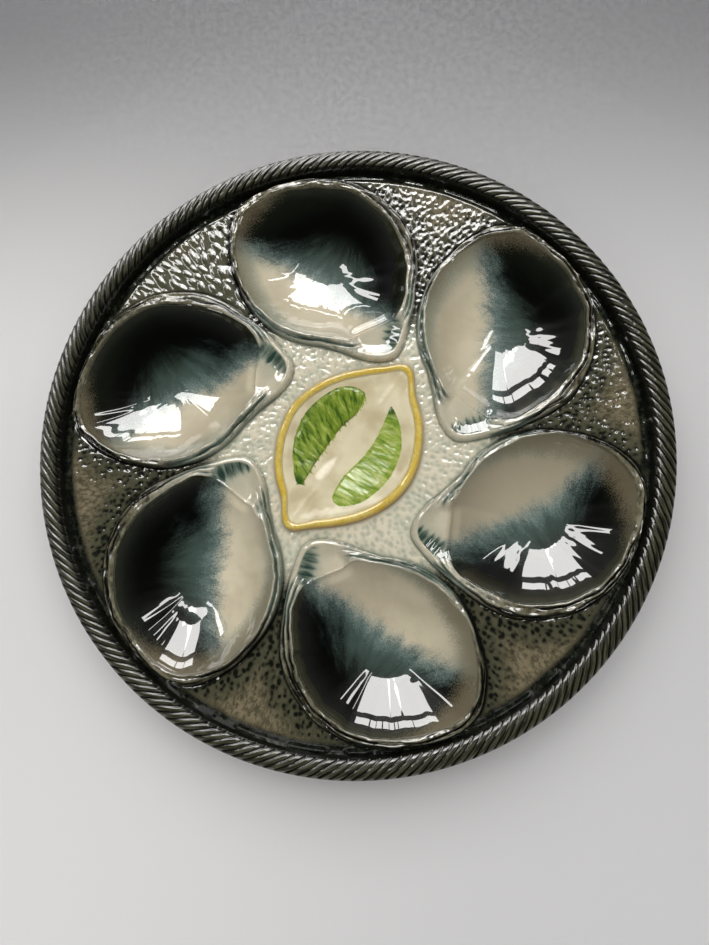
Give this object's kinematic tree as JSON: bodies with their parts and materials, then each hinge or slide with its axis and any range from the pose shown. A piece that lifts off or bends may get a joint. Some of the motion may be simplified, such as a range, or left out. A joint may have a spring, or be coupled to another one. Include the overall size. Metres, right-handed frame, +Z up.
{
  "type": "oyster plate",
  "caption": "Round glazed earthenware plate with shell-shaped wells in a pinwheel, a moulded lemon dish in the middle, a stippled ground and a rope rim.",
  "frame": {"origin": "centre of the plate in the plane of the table, on the standing face of the foot ring", "axes": "+Z up through the plate, +Y from the middle towards the first shell well (the top of the picture), +X to the right"},
  "size_m": [0.25, 0.25, 0.027],
  "materials": {
    "rope_glaze": "glossy",
    "ground_glaze": "glossy",
    "shell_glaze": "glossy",
    "pith_glaze": "glossy",
    "rind_glaze": "glossy",
    "flesh_glaze": "glossy",
    "foot_glaze": "glossy"
  },
  "bodies": {
    "root": {"rope_rim": "rope_glaze", "stippled_ground": "ground_glaze", "shell_well_1": "shell_glaze", "shell_well_2": "shell_glaze", "shell_well_3": "shell_glaze", "shell_well_4": "shell_glaze", "shell_well_5": "shell_glaze", "shell_well_6": "shell_glaze", "lemon_dish": "pith_glaze", "lemon_rind": "rind_glaze", "lemon_flesh_left": "flesh_glaze", "lemon_flesh_right": "flesh_glaze", "foot_ring": "foot_glaze"}
  },
  "joints": []
}
